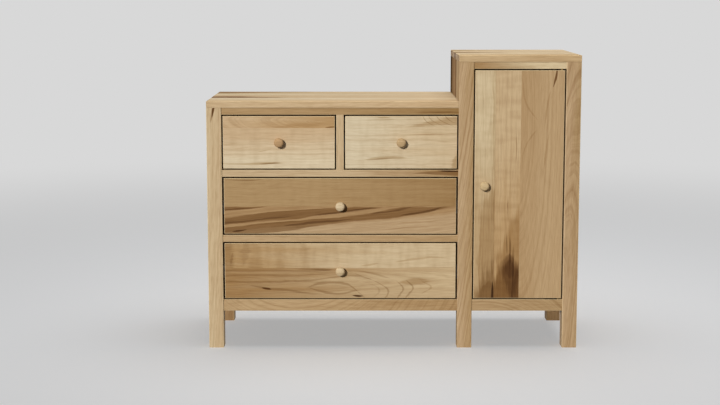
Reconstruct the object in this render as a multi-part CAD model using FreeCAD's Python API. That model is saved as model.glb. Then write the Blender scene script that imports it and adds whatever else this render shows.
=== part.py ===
import FreeCAD, Part
import os

Vector = FreeCAD.Vector

# Dresser with a door tower at its right end, in solid wood. Millimetres, +Z up, front towards -Y.
# The origin is on the floor, under the middle of the whole piece with its knobs.

# Case sizes
post_width = 51.0
post_depth = 57.0
low_opening_width = 812.0
tower_opening_width = 315.0
case_depth = 489.0
low_height = 860.0
tower_height = 1016.0
top_thickness = 23.0
leg_height = 130.0
bottom_rail_height = 40.0
bottom_rail_thickness = 22.0
drawer_rail_height = 24.0
top_rail_height = 23.5
flat_rail_depth = 45.0
small_opening_height = 190.0
divider_width = 26.0
frame_setback = 4.0

# Sides, partition and back
side_setback = 14.5
tower_side_reveal = 1.0
side_rail_thickness = 22.0
side_rail_height = 60.0
rear_setback = 4.0
rear_rail_thickness = 22.0
rear_rail_height = 60.0
panel_thickness = 12.0
back_panel_thickness = 6.0
panel_tongue = 8.0

# Joinery
tenon_shoulder = 6.0
tenon_breadth = 16.0
tenon_wall = 6.0
glue_gap = 0.1
edge_round = 2.0
rail_round = 1.5

# Doors and drawers
front_gap = 4.8
wide_front_end_gap = 6.0
front_thickness = 20.0
door_thickness = 20.0
door_left_board = 70.4
door_middle_board = 87.0
knob_diameter = 32.0
knob_neck_diameter = 18.0
knob_projection = 26.0
knob_side_round = 5.0
knob_neck_length = 12.0
knob_cove = 2.0
knob_crown_radius = 60.0
knob_tenon_diameter = 12.0
knob_tenon_length = 16.0
door_knob_inset = 33.4
box_side_thickness = 13.0
box_back_gap = 24.0
box_rise = 12.0
box_drop = 25.0
drawer_bottom_thickness = 6.0
drawer_bottom_rise = 10.0
drawer_bottom_tongue = 6.0
dovetail_count = 4
dovetail_slope = 0.16
dovetail_root_share = 0.56

# Drawer slides
slide_width = 12.7
slide_height = 45.0
slide_sheet = 1.2
slide_front_gap = 3.0
slide_back_gap = 6.0
slide_race = 3.0
slide_running_gap = 0.3
middle_member_shortening = 20.0
slide_cleat_height = 60.0

# Floors and shelves
floor_thickness = 18.0
cleat_height = 20.0
cleat_depth = 20.0
shelf_thickness = 18.0
shelf_end_gap = 1.0
shelf_front_gap = 8.0
shelf_back_gap = 2.0
shelf_count = 2
pin_radius = 3.0
pin_length = 20.0
pin_in_post = 10.0
pin_from_corner = 20.0
pin_hole_pitch = 32.0

# Door hinges and catch
hinge_from_edge = 10.4
hinge_behind_face = 7.0
hinge_leaf_length = 45.0
hinge_leaf_width = 10.0
hinge_leaf_thickness = 2.5
hinge_pin_radius = 2.5
hinge_pin_clearance = 0.05
hinge_washer_radius = 4.5
hinge_washer_gap = 0.1
catch_height = 45.0
catch_width = 14.0
catch_depth = 16.0
catch_drop = 60.0
catch_air_gap = 0.3
catch_plate_thickness = 1.5
catch_plate_inset = 2.0

# Upright lines across the width
overall_width = 3 * post_width + low_opening_width + tower_opening_width
left_post_x = (-overall_width / 2, -overall_width / 2 + post_width)
middle_post_x = (left_post_x[1] + low_opening_width, left_post_x[1] + low_opening_width + post_width)
right_post_x = (overall_width / 2 - post_width, overall_width / 2)
low_opening_x = (left_post_x[1], middle_post_x[0])
tower_opening_x = (middle_post_x[1], right_post_x[0])
low_middle_x = sum(low_opening_x) / 2
divider_x = (low_middle_x - divider_width / 2, low_middle_x + divider_width / 2)

# Lines from front to back
front_y = -(case_depth + frame_setback - knob_projection) / 2
back_y = front_y + case_depth
front_post_y = (front_y, front_y + post_depth)
rear_post_y = (back_y - post_depth, back_y)
between_posts_y = (front_post_y[1], rear_post_y[0])
face_y = front_y + frame_setback
flat_rail_y = (face_y, face_y + flat_rail_depth)
bottom_rail_y = (face_y, face_y + bottom_rail_thickness)
rear_rail_y = (back_y - rear_setback - rear_rail_thickness, back_y - rear_setback)
box_front_y = face_y + front_thickness
box_length = rear_rail_y[0] - box_back_gap - box_front_y
slide_length = box_length - slide_front_gap - slide_back_gap

# Levels
low_frame_top = low_height - top_thickness
tower_frame_top = tower_height - top_thickness
bottom_rail_z = (leg_height, leg_height + bottom_rail_height)
low_top_rail_z = (low_frame_top - top_rail_height, low_frame_top)
tower_top_rail_z = (tower_frame_top - top_rail_height, tower_frame_top)
small_opening_z = (low_top_rail_z[0] - small_opening_height, low_top_rail_z[0])
upper_rail_z = (small_opening_z[0] - drawer_rail_height, small_opening_z[0])
wide_opening_height = (upper_rail_z[0] - bottom_rail_z[1] - drawer_rail_height) / 2
lower_opening_z = (bottom_rail_z[1], bottom_rail_z[1] + wide_opening_height)
lower_rail_z = (lower_opening_z[1], lower_opening_z[1] + drawer_rail_height)
middle_opening_z = (lower_rail_z[1], upper_rail_z[0])
door_opening_z = (bottom_rail_z[1], tower_top_rail_z[0])

# Tenons of opposite rails leave a wall between them, and so do those that meet at a corner
front_tenon_length = (post_width - tenon_wall) / 2
front_tenon_y = (face_y + tenon_shoulder, face_y + tenon_shoulder + tenon_breadth)
side_tenon_length = front_post_y[1] - front_tenon_y[1] - tenon_wall

pieces = {}
housings = {}


# Small tools for boards and joints
def block(x, y, z):
    """A square block between the (low, high) pairs x, y and z."""
    return Part.makeBox(x[1] - x[0], y[1] - y[0], z[1] - z[0], Vector(x[0], y[0], z[0]))


def grown(span, by):
    return (span[0] - by, span[1] + by)


def shrunk(span, by):
    return (span[0] + by, span[1] - by)


def runs_along(edge, axes):
    way = edge.Vertexes[1].Point - edge.Vertexes[0].Point
    reach = [abs(way.x), abs(way.y), abs(way.z)]
    return "xyz"[reach.index(max(reach))] in axes


def eased(solid, radius, axes):
    """The solid with the edges that run along the named axes rounded."""
    return solid.makeFillet(radius, [edge for edge in solid.Edges if runs_along(edge, axes)])


def eased_front(solid, radius):
    """The solid with the edges round its front face rounded."""
    front = solid.BoundBox.YMin
    edges = [edge for edge in solid.Edges if edge.BoundBox.YMax < front + radius / 2]
    return solid.makeFillet(radius, edges)


def joined(*solids):
    return solids[0].fuse(list(solids[1:])).removeSplitter()


def add(node, *solids):
    pieces.setdefault(node, []).extend(solids)


def house(hosts, *solids):
    """Remember what has to be let into the host nodes."""
    for host in hosts:
        housings.setdefault(host, []).extend(solids)


def pocket(x, y, z):
    return block(grown(x, glue_gap), grown(y, glue_gap), grown(z, glue_gap))


def rod(centre, radius, length, way):
    return Part.makeCylinder(radius, length, centre, way)


# Posts, which are also the legs, and the stile that stands between the two backs
def post(node, x, y, z):
    add(node, eased(block(x, y, z), edge_round, "z"))


post("front_left_post", left_post_x, front_post_y, (0, low_frame_top))
post("front_middle_post", middle_post_x, front_post_y, (0, tower_frame_top))
post("front_right_post", right_post_x, front_post_y, (0, tower_frame_top))
post("rear_left_post", left_post_x, rear_post_y, (0, low_frame_top))
post("rear_right_post", right_post_x, rear_post_y, (0, tower_frame_top))
post("rear_middle_stile", middle_post_x, rear_post_y, (leg_height, tower_frame_top))


# Front rails, tenoned into the posts
def front_rail(node, x, y, z, posts):
    tenon_y = (front_tenon_y[0], min(front_tenon_y[1], y[1] - tenon_shoulder))
    tenon = (grown(x, front_tenon_length), tenon_y, shrunk(z, tenon_shoulder))
    add(node, joined(eased(block(x, y, z), rail_round, "x"), block(*tenon)))
    house(posts, pocket(*tenon))


low_posts = ("front_left_post", "front_middle_post")
tower_posts = ("front_middle_post", "front_right_post")
front_rail("low_top_rail", low_opening_x, flat_rail_y, low_top_rail_z, low_posts)
front_rail("upper_drawer_rail", low_opening_x, flat_rail_y, upper_rail_z, low_posts)
front_rail("lower_drawer_rail", low_opening_x, flat_rail_y, lower_rail_z, low_posts)
front_rail("low_bottom_rail", low_opening_x, bottom_rail_y, bottom_rail_z, low_posts)
front_rail("tower_top_rail", tower_opening_x, flat_rail_y, tower_top_rail_z, tower_posts)
front_rail("tower_bottom_rail", tower_opening_x, bottom_rail_y, bottom_rail_z, tower_posts)

# Upright divider between the small drawers, stub tenoned into the rails, and the partition behind it
divider_tenon = (
    shrunk(divider_x, tenon_shoulder),
    front_tenon_y,
    grown(small_opening_z, tenon_shoulder),
)
divider = eased(block(divider_x, flat_rail_y, small_opening_z), rail_round, "z")
add("drawer_divider", joined(divider, block(*divider_tenon)))
house(("low_top_rail", "upper_drawer_rail"), pocket(*divider_tenon))
partition_y = (flat_rail_y[1], rear_rail_y[0])
add("centre_partition", block(divider_x, partition_y, (small_opening_z[0], low_frame_top)))


# Sides and partition: rails tenoned between a front post and a rear one, with a panel in grooves
def side_rail(node, x, z, posts):
    tenon = (shrunk(x, tenon_shoulder), grown(between_posts_y, side_tenon_length), shrunk(z, tenon_shoulder))
    add(node, joined(eased(block(x, between_posts_y, z), rail_round, "y"), block(*tenon)))
    house(posts, pocket(*tenon))


def side_frame(name, rail_x, top_rail_z, posts):
    rails = name + "_rails"
    panel = name + "_panel"
    lower_z = (leg_height, leg_height + side_rail_height)
    side_rail(rails, rail_x, lower_z, posts)
    side_rail(rails, rail_x, top_rail_z, posts)
    inset = (side_rail_thickness - panel_thickness) / 2
    panel_x = shrunk(rail_x, inset)
    panel_y = grown(between_posts_y, panel_tongue)
    panel_z = (lower_z[1] - panel_tongue, top_rail_z[0] + panel_tongue)
    add(panel, block(panel_x, panel_y, panel_z))
    house(posts + (rails,), pocket(panel_x, panel_y, panel_z))
    return panel_x


left_rail_x = (left_post_x[0] + side_setback, left_post_x[0] + side_setback + side_rail_thickness)
partition_rail_x = (middle_post_x[0] + side_setback, middle_post_x[0] + side_setback + side_rail_thickness)
right_rail_x = (right_post_x[1] - side_setback - side_rail_thickness, right_post_x[1] - side_setback)
low_side_top_z = (low_frame_top - side_rail_height, low_frame_top)
tower_side_top_z = (tower_frame_top - side_rail_height, tower_frame_top)
partition_top_z = (low_side_top_z[0], tower_frame_top)
left_panel_x = side_frame("left_side", left_rail_x, low_side_top_z, ("front_left_post", "rear_left_post"))
partition_panel_x = side_frame(
    "partition", partition_rail_x, partition_top_z, ("front_middle_post", "rear_middle_stile")
)
side_frame("right_side", right_rail_x, tower_side_top_z, ("front_right_post", "rear_right_post"))

# Tower's side above the low top: a board that stands on the top, in front of the partition's upper rail
tower_side_x = (middle_post_x[0] + tower_side_reveal, partition_rail_x[0])
add("partition_panel", block(tower_side_x, between_posts_y, (low_height, tower_frame_top)))


# Backs: rails tenoned into the rear posts and the stile, with a thin panel in grooves
def rear_rail(x, z, posts):
    tenon = (grown(x, front_tenon_length), shrunk(rear_rail_y, tenon_shoulder), shrunk(z, tenon_shoulder))
    add("rear_rails", joined(eased(block(x, rear_rail_y, z), rail_round, "x"), block(*tenon)))
    house(posts, pocket(*tenon))


def back(x, frame_top, posts):
    lower_z = (leg_height, leg_height + rear_rail_height)
    upper_z = (frame_top - rear_rail_height, frame_top)
    rear_rail(x, lower_z, posts)
    rear_rail(x, upper_z, posts)
    inset = (rear_rail_thickness - back_panel_thickness) / 2
    panel = (
        grown(x, panel_tongue),
        shrunk(rear_rail_y, inset),
        (lower_z[1] - panel_tongue, upper_z[0] + panel_tongue),
    )
    add("back_panels", block(*panel))
    house(posts + ("rear_rails",), pocket(*panel))


back(low_opening_x, low_frame_top, ("rear_left_post", "rear_middle_stile"))
back(tower_opening_x, tower_frame_top, ("rear_middle_stile", "rear_right_post"))

# Tops, flush with the posts; the low one is notched round the tower's posts to reach its side
low_top_z = (low_frame_top, low_height)
low_top_body = block((left_post_x[0], middle_post_x[0]), (front_y, back_y), low_top_z)
low_top_tongue = block((middle_post_x[0], partition_rail_x[0]), between_posts_y, low_top_z)
add("low_top", joined(eased(low_top_body, edge_round, "xyz"), low_top_tongue))
tower_top = block((middle_post_x[0], right_post_x[1]), (front_y, back_y), (tower_frame_top, tower_height))
add("tower_top", eased(tower_top, edge_round, "xyz"))

# Cleats that hold the tops to the side rails, and floors notched round the posts, on cleats of their own
low_cleat_z = (low_frame_top - cleat_height, low_frame_top)
tower_cleat_z = (tower_frame_top - cleat_height, tower_frame_top)
add("support_cleats", block((left_rail_x[1], left_post_x[1]), between_posts_y, low_cleat_z))
add("support_cleats", block((middle_post_x[0], partition_rail_x[0]), between_posts_y, low_cleat_z))
add("support_cleats", block((partition_rail_x[1], middle_post_x[1]), between_posts_y, tower_cleat_z))
add("support_cleats", block((right_post_x[0], right_rail_x[0]), between_posts_y, tower_cleat_z))
floor_y = (bottom_rail_y[1], rear_rail_y[0])
floor_z = (bottom_rail_z[1] - floor_thickness, bottom_rail_z[1])
floor_cleat_z = (floor_z[0] - cleat_height, floor_z[0])
low_floor_x = (left_rail_x[1], partition_rail_x[0])
tower_floor_x = (partition_rail_x[1], right_rail_x[0])
for bay_x, floor_x in ((low_opening_x, low_floor_x), (tower_opening_x, tower_floor_x)):
    add("floors", joined(block(bay_x, floor_y, floor_z), block(floor_x, between_posts_y, floor_z)))
    add("support_cleats", block(bay_x, (floor_y[0], floor_y[0] + cleat_depth), floor_cleat_z))
    add("support_cleats", block(bay_x, (floor_y[1] - cleat_depth, floor_y[1]), floor_cleat_z))

# Shelves on pins, with spare holes above and below each pin
shelf_y = (face_y + door_thickness + shelf_front_gap, rear_rail_y[0] - shelf_back_gap)
shelf_x = shrunk(tower_opening_x, shelf_end_gap)
shelf_step = (door_opening_z[1] - door_opening_z[0]) / (shelf_count + 1)
pin_hole_hosts = {
    ("front_middle_post", "rear_middle_stile"): (tower_opening_x[0], Vector(1, 0, 0)),
    ("front_right_post", "rear_right_post"): (tower_opening_x[1], Vector(-1, 0, 0)),
}
for shelf in range(shelf_count):
    shelf_bottom = door_opening_z[0] + (shelf + 1) * shelf_step
    shelf_board = block(shelf_x, shelf_y, (shelf_bottom, shelf_bottom + shelf_thickness))
    add("shelves", eased(shelf_board, rail_round, "x"))
    for hosts, (face_x, inward) in pin_hole_hosts.items():
        pin_places = (front_post_y[1] - pin_from_corner, rear_post_y[0] + pin_from_corner)
        for host, pin_y in zip(hosts, pin_places):
            pin_start = Vector(face_x, pin_y, shelf_bottom - pin_radius) - inward * pin_in_post
            add("shelf_pins", rod(pin_start, pin_radius, pin_length, inward))
            for step in (-1, 0, 1):
                hole_start = pin_start + Vector(0, 0, step * pin_hole_pitch) - inward * glue_gap
                house((host,), rod(hole_start, pin_radius + glue_gap, pin_length, inward))


# Turned knob, glued by a tenon into the front that it stands on
def knob(x, z, face):
    neck = knob_neck_diameter / 2
    rim = knob_diameter / 2
    tenon = knob_tenon_diameter / 2
    shoulder = knob_projection - knob_side_round
    corner = knob_side_round * 0.5 ** 0.5

    def at(radius, out):
        return Vector(x + radius, face - out, z)

    outline = [
        Part.LineSegment(at(0, -knob_tenon_length), at(tenon, -knob_tenon_length)),
        Part.LineSegment(at(tenon, -knob_tenon_length), at(tenon, 0)),
        Part.LineSegment(at(tenon, 0), at(neck, 0)),
        Part.Arc(
            at(neck, 0),
            at((neck + rim) / 2 - knob_cove, knob_neck_length / 2 + knob_cove),
            at(rim, knob_neck_length),
        ),
        Part.LineSegment(at(rim, knob_neck_length), at(rim, shoulder)),
        Part.Arc(
            at(rim, shoulder),
            at(rim - knob_side_round + corner, shoulder + corner),
            at(rim - knob_side_round, knob_projection),
        ),
        Part.LineSegment(at(rim - knob_side_round, knob_projection), at(0, knob_projection)),
        Part.LineSegment(at(0, knob_projection), at(0, -knob_tenon_length)),
    ]
    wire = Part.Wire([line.toShape() for line in outline])
    turned = Part.Face(wire).revolve(Vector(x, face, z), Vector(0, 1, 0), 360)
    crown = Part.makeSphere(knob_crown_radius, at(0, knob_projection - knob_crown_radius))
    return turned.common(crown)


def knob_hole(x, z, face):
    radius = knob_tenon_diameter / 2 + glue_gap
    return rod(Vector(x, face, z), radius, knob_tenon_length + glue_gap, Vector(0, 1, 0))


# Drawer slides: a channel on the case, one on the drawer, and one between them that rides on balls
slide_y = (box_front_y + slide_front_gap, box_front_y + slide_front_gap + slide_length)
middle_member_y = shrunk(slide_y, middle_member_shortening / 2)
case_half = slide_height / 2
middle_half = case_half - slide_sheet - slide_race
drawer_half = middle_half - slide_sheet - slide_race
case_flange = slide_width - slide_sheet - 2 * slide_running_gap
middle_web = slide_sheet + 2 * slide_running_gap
drawer_flange = slide_width - middle_web - slide_sheet - 2 * slide_running_gap


def channel(web_x, flange_x, y, z_middle, half):
    web = block(sorted(web_x), y, (z_middle - half, z_middle + half))
    upper = block(sorted(flange_x), y, (z_middle + half - slide_sheet, z_middle + half))
    lower = block(sorted(flange_x), y, (z_middle - half, z_middle - half + slide_sheet))
    return joined(web, upper, lower)


def slide(face_x, side, z):
    """Case member, middle member with its ball retainers, and drawer member; side is +1 or -1."""

    def out(start, end):
        return (face_x + side * start, face_x + side * end)

    case_member = channel(out(0, slide_sheet), out(0, case_flange), slide_y, z, case_half)
    middle_flange = out(middle_web, middle_web + case_flange - slide_sheet)
    middle_web_x = out(middle_web, middle_web + slide_sheet)
    middle = channel(middle_web_x, middle_flange, middle_member_y, z, middle_half)
    drawer_web = out(slide_width - slide_sheet, slide_width)
    drawer_flanges = out(slide_width - drawer_flange, slide_width)
    drawer_member = channel(drawer_web, drawer_flanges, slide_y, z, drawer_half)
    retainer_x = sorted(out(slide_width - drawer_flange + slide_sheet, case_flange - slide_sheet))
    retainers = []
    for level in (middle_half, drawer_half + slide_running_gap):
        height = slide_race - slide_running_gap
        retainers.append(block(retainer_x, middle_member_y, (z + level, z + level + height)))
        retainers.append(block(retainer_x, middle_member_y, (z - level - height, z - level)))
    return case_member, [middle] + retainers, drawer_member


# Drawer boxes, dovetailed at the corners, with a thin bottom in grooves
def tails(x, y_end, y_root, z):
    """Dovetails on the end of a drawer side, widening from the root to the end."""
    pitch = (z[1] - z[0]) / dovetail_count
    root_half = pitch * dovetail_root_share / 2
    end_half = root_half + abs(y_root - y_end) * dovetail_slope
    solids = []
    for index in range(dovetail_count):
        middle = z[0] + (index + 0.5) * pitch
        corners = [
            Vector(x[0], y_end, middle - end_half),
            Vector(x[0], y_end, middle + end_half),
            Vector(x[0], y_root, middle + root_half),
            Vector(x[0], y_root, middle - root_half),
        ]
        face = Part.Face(Part.makePolygon(corners + corners[:1]))
        solids.append(face.extrude(Vector(x[1] - x[0], 0, 0)))
    return solids


def drawer_box(name, x, z):
    wall = box_side_thickness
    y = (box_front_y, box_front_y + box_length)
    front_end = (y[0], y[0] + wall)
    back_end = (y[1] - wall, y[1])
    bottom_z = (z[0] + drawer_bottom_rise, z[0] + drawer_bottom_rise + drawer_bottom_thickness)
    back_z = (bottom_z[1], z[1])
    bottom_x = grown(shrunk(x, wall), drawer_bottom_tongue)
    bottom_y = (front_end[1] - drawer_bottom_tongue, y[1])
    groove = pocket(bottom_x, bottom_y, bottom_z)
    front_board = block(x, front_end, z)
    back_board = block(x, back_end, back_z)
    sides = []
    for side_x in ((x[0], x[0] + wall), (x[1] - wall, x[1])):
        front_tails = tails(side_x, front_end[0], front_end[1], z)
        back_tails = tails(side_x, back_end[1], back_end[0], back_z)
        middle = block(side_x, (front_end[1], back_end[0]), z)
        lower_end = block(side_x, back_end, (z[0], bottom_z[1]))
        sides.append(joined(middle, lower_end, *front_tails, *back_tails).cut(groove))
        front_board = front_board.cut(front_tails)
        back_board = back_board.cut(back_tails)
    add(name + "_box", *sides, front_board.cut(groove), back_board)
    add(name + "_bottom", block(bottom_x, bottom_y, bottom_z))


def drawer(name, opening_x, opening_z, end_gap):
    front_x = shrunk(opening_x, end_gap)
    front_z = shrunk(opening_z, front_gap)
    knob_x = sum(front_x) / 2
    knob_z = sum(front_z) / 2
    front = eased_front(block(front_x, (face_y, box_front_y), front_z), rail_round)
    add(name + "_front", front.cut(knob_hole(knob_x, knob_z, face_y)))
    add(name + "_knob", knob(knob_x, knob_z, face_y))
    box_z = (opening_z[0] + box_rise, opening_z[1] - box_drop)
    drawer_box(name, shrunk(opening_x, slide_width), box_z)
    for face_x, side in ((opening_x[0], 1), (opening_x[1], -1)):
        case_member, middle_members, drawer_member = slide(face_x, side, sum(box_z) / 2)
        add("slide_case_members", case_member)
        add(name + "_middle_slides", *middle_members)
        add(name + "_slides", drawer_member)
    return sum(box_z) / 2


def slide_cleat(x, z_middle):
    half = slide_cleat_height / 2
    add("slide_cleats", block(x, between_posts_y, (z_middle - half, z_middle + half)))


left_cleat_x = (left_panel_x[1], left_post_x[1])
right_cleat_x = (middle_post_x[0], partition_panel_x[0])
small_left_x = (low_opening_x[0], divider_x[0])
small_right_x = (divider_x[1], low_opening_x[1])
slide_cleat(left_cleat_x, drawer("upper_left_drawer", small_left_x, small_opening_z, front_gap))
slide_cleat(right_cleat_x, drawer("upper_right_drawer", small_right_x, small_opening_z, front_gap))
wide_drawers = {"middle_drawer": middle_opening_z, "lower_drawer": lower_opening_z}
for drawer_name, drawer_opening_z in wide_drawers.items():
    slide_middle = drawer(drawer_name, low_opening_x, drawer_opening_z, wide_front_end_gap)
    slide_cleat(left_cleat_x, slide_middle)
    slide_cleat(right_cleat_x, slide_middle)

# Tower door: three boards glued edge to edge
door_x = shrunk(tower_opening_x, front_gap)
door_z = shrunk(door_opening_z, front_gap)
door_y = (face_y, face_y + door_thickness)
door_slab = eased_front(block(door_x, door_y, door_z), rail_round)
door_first_seam = door_x[0] + door_left_board
door_seams = (door_x[0], door_first_seam, door_first_seam + door_middle_board, door_x[1])
for seam in range(len(door_seams) - 1):
    board_space = block(door_seams[seam:seam + 2], door_y, door_z)
    add("door_panel", door_slab.common(board_space))
door_knob_x = door_x[0] + door_knob_inset
door_knob_z = sum(door_z) / 2
add("door_knob", knob(door_knob_x, door_knob_z, face_y))
house(("door_panel",), knob_hole(door_knob_x, door_knob_z, face_y))

# Pivot hinges let into the rails and into the door's ends; the case leaf carries the pin and a washer
hinge_x = door_x[1] - hinge_from_edge
hinge_y = face_y + hinge_behind_face


def hinge_leaf(z, gap):
    """A bar with a round end at the pivot, larger by a gap where it is a pocket."""
    radius = hinge_leaf_width / 2 + gap
    bar_x = (hinge_x - hinge_leaf_length - gap, hinge_x)
    bar = block(bar_x, (hinge_y - radius, hinge_y + radius), z)
    return joined(bar, rod(Vector(hinge_x, hinge_y, z[0]), radius, z[1] - z[0], Vector(0, 0, 1)))


def hinge(case_face, door_face, rail_node):
    way = 1 if case_face > door_face else -1
    case_z = sorted((case_face, case_face + way * hinge_leaf_thickness))
    door_leaf_z = sorted((door_face, door_face - way * hinge_leaf_thickness))
    pin_z = sorted((case_face, door_face - way * (hinge_leaf_thickness - hinge_washer_gap)))
    washer_z = sorted((case_face, door_face + way * hinge_washer_gap))
    up = Vector(0, 0, 1)
    pin = rod(Vector(hinge_x, hinge_y, pin_z[0]), hinge_pin_radius, pin_z[1] - pin_z[0], up)
    washer = rod(Vector(hinge_x, hinge_y, washer_z[0]), hinge_washer_radius, washer_z[1] - washer_z[0], up)
    hole_radius = hinge_pin_radius + hinge_pin_clearance
    hole = rod(Vector(hinge_x, hinge_y, door_leaf_z[0]), hole_radius, hinge_leaf_thickness, up)
    add("hinge_case_leaves", joined(hinge_leaf(case_z, 0), pin, washer))
    add("hinge_door_leaves", hinge_leaf(door_leaf_z, 0).cut(hole))
    house((rail_node,), hinge_leaf(case_z, glue_gap))
    house(("door_panel",), hinge_leaf(door_leaf_z, glue_gap))


hinge(door_opening_z[1], door_z[1], "tower_top_rail")
hinge(door_opening_z[0], door_z[0], "tower_bottom_rail")

# Magnetic catch on the middle post and its steel plate on the back of the door
catch_z = (door_z[1] - catch_drop - catch_height, door_z[1] - catch_drop)
plate_y = (door_y[1], door_y[1] + catch_plate_thickness)
catch_y = (plate_y[1] + catch_air_gap, plate_y[1] + catch_air_gap + catch_depth)
add("door_catch", block((tower_opening_x[0], tower_opening_x[0] + catch_width), catch_y, catch_z))
plate_x = (door_x[0] + catch_plate_inset, tower_opening_x[0] + catch_width)
add("catch_plate", block(plate_x, plate_y, catch_z))

# Mortises, grooves and pockets, then one file for each node
os.makedirs("parts", exist_ok=True)
for node, solids in pieces.items():
    if node in housings:
        solids = [solid.cut(housings[node]) for solid in solids]
    found = [solid for shape in solids for solid in shape.Solids]
    if len(found) != len(pieces[node]):
        print("check", node, "has", len(found), "solids for", len(pieces[node]), "pieces")
    Part.makeCompound(found).exportStep("parts/" + node + ".step")
print(len(pieces), "nodes")
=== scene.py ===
import math

import bpy
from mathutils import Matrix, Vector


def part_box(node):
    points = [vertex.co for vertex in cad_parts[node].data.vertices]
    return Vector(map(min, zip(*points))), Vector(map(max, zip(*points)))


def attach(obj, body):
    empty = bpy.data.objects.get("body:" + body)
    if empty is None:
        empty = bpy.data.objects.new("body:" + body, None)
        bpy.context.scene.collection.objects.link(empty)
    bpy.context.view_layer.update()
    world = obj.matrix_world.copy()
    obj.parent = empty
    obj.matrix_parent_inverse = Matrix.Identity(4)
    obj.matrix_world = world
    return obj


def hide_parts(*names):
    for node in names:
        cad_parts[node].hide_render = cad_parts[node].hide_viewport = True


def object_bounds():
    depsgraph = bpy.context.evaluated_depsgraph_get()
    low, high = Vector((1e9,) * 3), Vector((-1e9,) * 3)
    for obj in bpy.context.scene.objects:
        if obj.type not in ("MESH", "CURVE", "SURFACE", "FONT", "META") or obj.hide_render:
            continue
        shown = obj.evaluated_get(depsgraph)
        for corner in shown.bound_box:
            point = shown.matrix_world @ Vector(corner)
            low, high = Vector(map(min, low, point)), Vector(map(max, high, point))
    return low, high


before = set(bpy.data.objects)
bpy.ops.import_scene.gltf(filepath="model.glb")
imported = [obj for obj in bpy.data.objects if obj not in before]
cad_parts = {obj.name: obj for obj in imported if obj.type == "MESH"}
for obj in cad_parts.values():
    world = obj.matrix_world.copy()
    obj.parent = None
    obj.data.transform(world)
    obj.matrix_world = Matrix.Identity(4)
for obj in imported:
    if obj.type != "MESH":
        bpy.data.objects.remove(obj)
cad_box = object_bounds()

# Camera
# It stands five metres in front of the dresser, a little left of its middle and higher than the tower,
# and looks slightly down with a long lens, so that both tops show as thin pale strips.
mm = 0.001
image_width = 720
focal_pixels = 1491.9
axis_pixel = 360.8
camera_place = (-111.7 * mm, -5318.5 * mm, 1232.5 * mm)
camera_pitch = math.radians(8.073)
bpy.ops.object.camera_add(location=camera_place, rotation=(math.pi / 2 - camera_pitch, 0, 0))
camera = bpy.context.object
camera.data.lens = camera.data.sensor_width * focal_pixels / image_width
camera.data.shift_x = (image_width / 2 - axis_pixel) / image_width
camera.data.clip_end = 100
bpy.context.scene.camera = camera
bpy.context.scene.view_settings.view_transform = "Standard"


# Posts
# Square posts of solid maple carry the case and run down to the floor as its legs. They are planed,
# eased along their long edges and finished with a clear matt oil.
def linear(colour):
    """An sRGB hex colour as the linear values that a shader works in."""
    channels = [int(colour[start:start + 2], 16) / 255 for start in (1, 3, 5)]
    return [c / 12.92 if c < 0.04045 else ((c + 0.055) / 1.055) ** 2.4 for c in channels] + [1]


def add_node(tree, kind, inputs, **settings):
    """Adds a node, sets its properties, and fills or links its inputs."""
    node = tree.nodes.new("ShaderNode" + kind)
    for name, value in settings.items():
        setattr(node, name, value)
    for name, value in inputs.items():
        if isinstance(value, bpy.types.NodeSocket):
            tree.links.new(value, node.inputs[name])
        else:
            node.inputs[name].default_value = value
    return node


# Sockets of the Mix node when it mixes colours
first, second, mixed = 6, 7, 2

# How a board lies in the case: the turn of its pattern, and the axes of its length and breadth
ways = {
    "across": ((0, 0, 0), "X", "Z"),
    "upright": ((0, -math.pi / 2, 0), "Z", "X"),
    "inward": ((0, 0, math.pi / 2), "Y", "Z"),
    "flat": ((math.pi / 2, 0, 0), "X", "Y"),
}

# What late wood and stains let through of the colour of the wood. The dark stain also paints shade
# on the sides of the fronts in the gaps
late_wood = "#C4B197"
light_stain = "#D8CAB4"
brown_stain = "#BDAB93"
dark_stain_and_shade = "#9A826A"
black_stain = "#6E5844"

face_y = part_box("lower_drawer_front")[0].y


def on_front(x, z):
    """A point on the plane of the fronts, from millimetres across and up."""
    return (x * mm, face_y, z * mm)


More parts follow.
